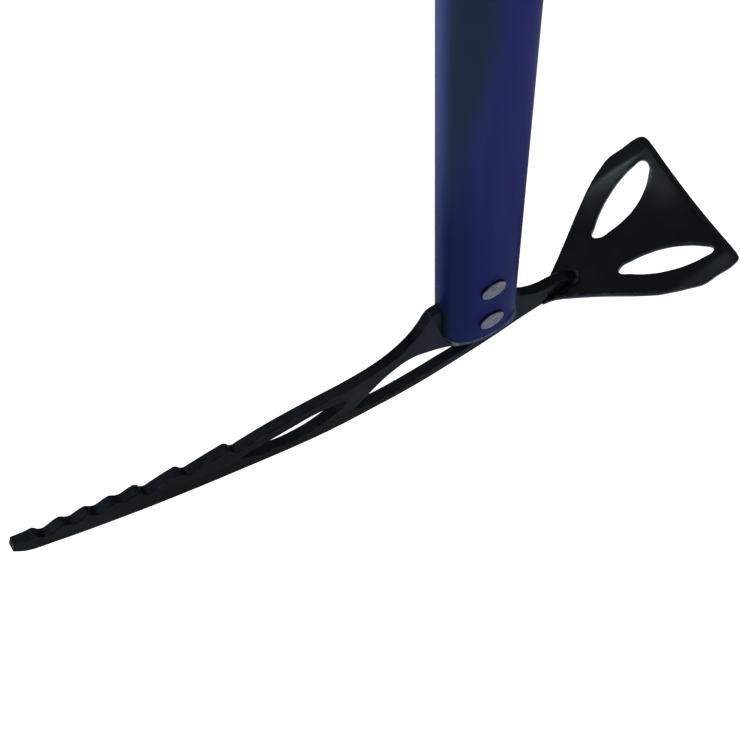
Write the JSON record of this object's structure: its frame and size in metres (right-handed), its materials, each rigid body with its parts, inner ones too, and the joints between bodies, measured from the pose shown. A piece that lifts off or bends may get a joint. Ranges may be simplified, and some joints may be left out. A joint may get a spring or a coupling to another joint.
{
  "type": "ice axe",
  "caption": "Rigid ice axe: oval tube shaft, riveted plate head with toothed pick, karabiner eye and welded two-hole adze, and a flat riveted spike at the other end.",
  "frame": {"origin": "on the shaft's axis at the height of the upper head rivet, where a carrying loop passes round the shaft just above the head", "axes": "+Z along the shaft from the head to the spike, +X towards the adze, -X towards the pick, Y across the shaft's narrow side"},
  "size_m": [0.2759, 0.0626, 0.5996],
  "materials": {
    "black_coated_steel": "thin black coating, satin",
    "blue_anodised_aluminium": "dark blue anodised, satin",
    "rivet_steel": "plain, lightly worn",
    "weld_steel": "rippled weld bead under thin coating",
    "plug_nylon": "moulded matt"
  },
  "bodies": {
    "root": {"head_plate": "black_coated_steel", "adze": "black_coated_steel", "tail_weld": "weld_steel", "shaft_tube": "blue_anodised_aluminium", "head_rivet_upper": "rivet_steel", "head_rivet_lower": "rivet_steel", "head_plug_front": "plug_nylon", "head_plug_back": "plug_nylon", "spike": "black_coated_steel", "spike_rivet_lower": "rivet_steel", "spike_rivet_upper": "rivet_steel", "spike_plug_front": "plug_nylon", "spike_plug_back": "plug_nylon"}
  },
  "joints": []
}
